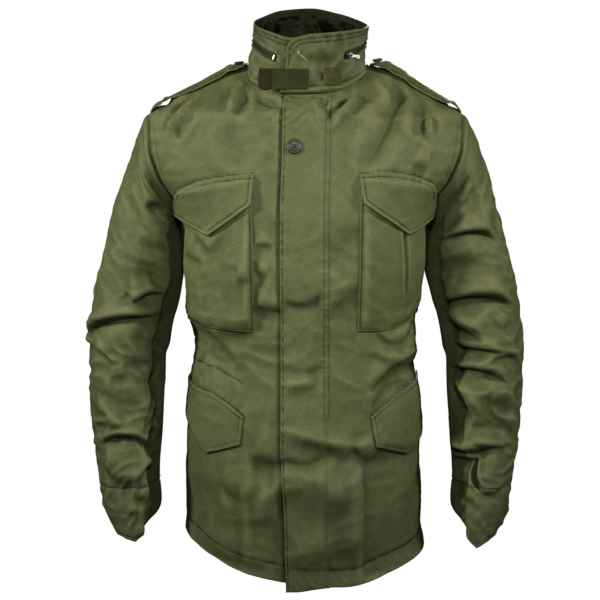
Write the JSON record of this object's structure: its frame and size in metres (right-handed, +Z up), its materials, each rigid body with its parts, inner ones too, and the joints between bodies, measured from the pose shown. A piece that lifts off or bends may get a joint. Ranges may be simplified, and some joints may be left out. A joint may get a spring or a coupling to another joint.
{
  "type": "field jacket",
  "caption": "Hip-length cotton field jacket with stand collar, storm flap, bellows chest pockets, slanted hip flaps, shoulder straps and pointed cuffs, hollow and filled out.",
  "frame": {"origin": "between the shoulder points at the height of the base of the neck, where the wearer's shoulders carry the jacket", "axes": "+Z up, -Y out of the front, +X towards the wearer's left sleeve"},
  "size_m": [0.6562, 0.2878, 0.8441],
  "materials": {
    "cloth": "matt sateen cotton",
    "tab": "matt",
    "loop": "brushed",
    "tape": "matt",
    "button": "satin",
    "dark_metal": "satin",
    "bright_metal": "satin"
  },
  "bodies": {
    "jacket": {"back": "cloth", "chest_flap_left": "cloth", "chest_flap_right": "cloth", "chest_pocket_left": "cloth", "chest_pocket_right": "cloth", "collar": "cloth", "collar_loop_left": "loop", "collar_loop_right": "loop", "collar_tab": "tab", "collar_zip": "tape", "front_button": "button", "front_left": "cloth", "front_right": "cloth", "hand_guard_left": "cloth", "hand_guard_right": "cloth", "lower_flap_left": "cloth", "lower_flap_right": "cloth", "placket": "cloth", "shoulder_strap_left": "cloth", "shoulder_strap_right": "cloth", "sleeve_left": "cloth", "sleeve_right": "cloth", "strap_button_left": "button", "strap_button_right": "button", "zip_slider": "dark_metal", "zip_stop": "bright_metal"},
    "pull": {"zip_pull": "bright_metal"}
  },
  "joints": [
    {"name": "pull_swing", "type": "hinge", "parent": "jacket", "child": "pull", "pos_m": [0.06665, -0.05517, 0.0256], "axis": [-0.1496, -0.0844, -0.9851], "range_deg": [0, 165]}
  ]
}
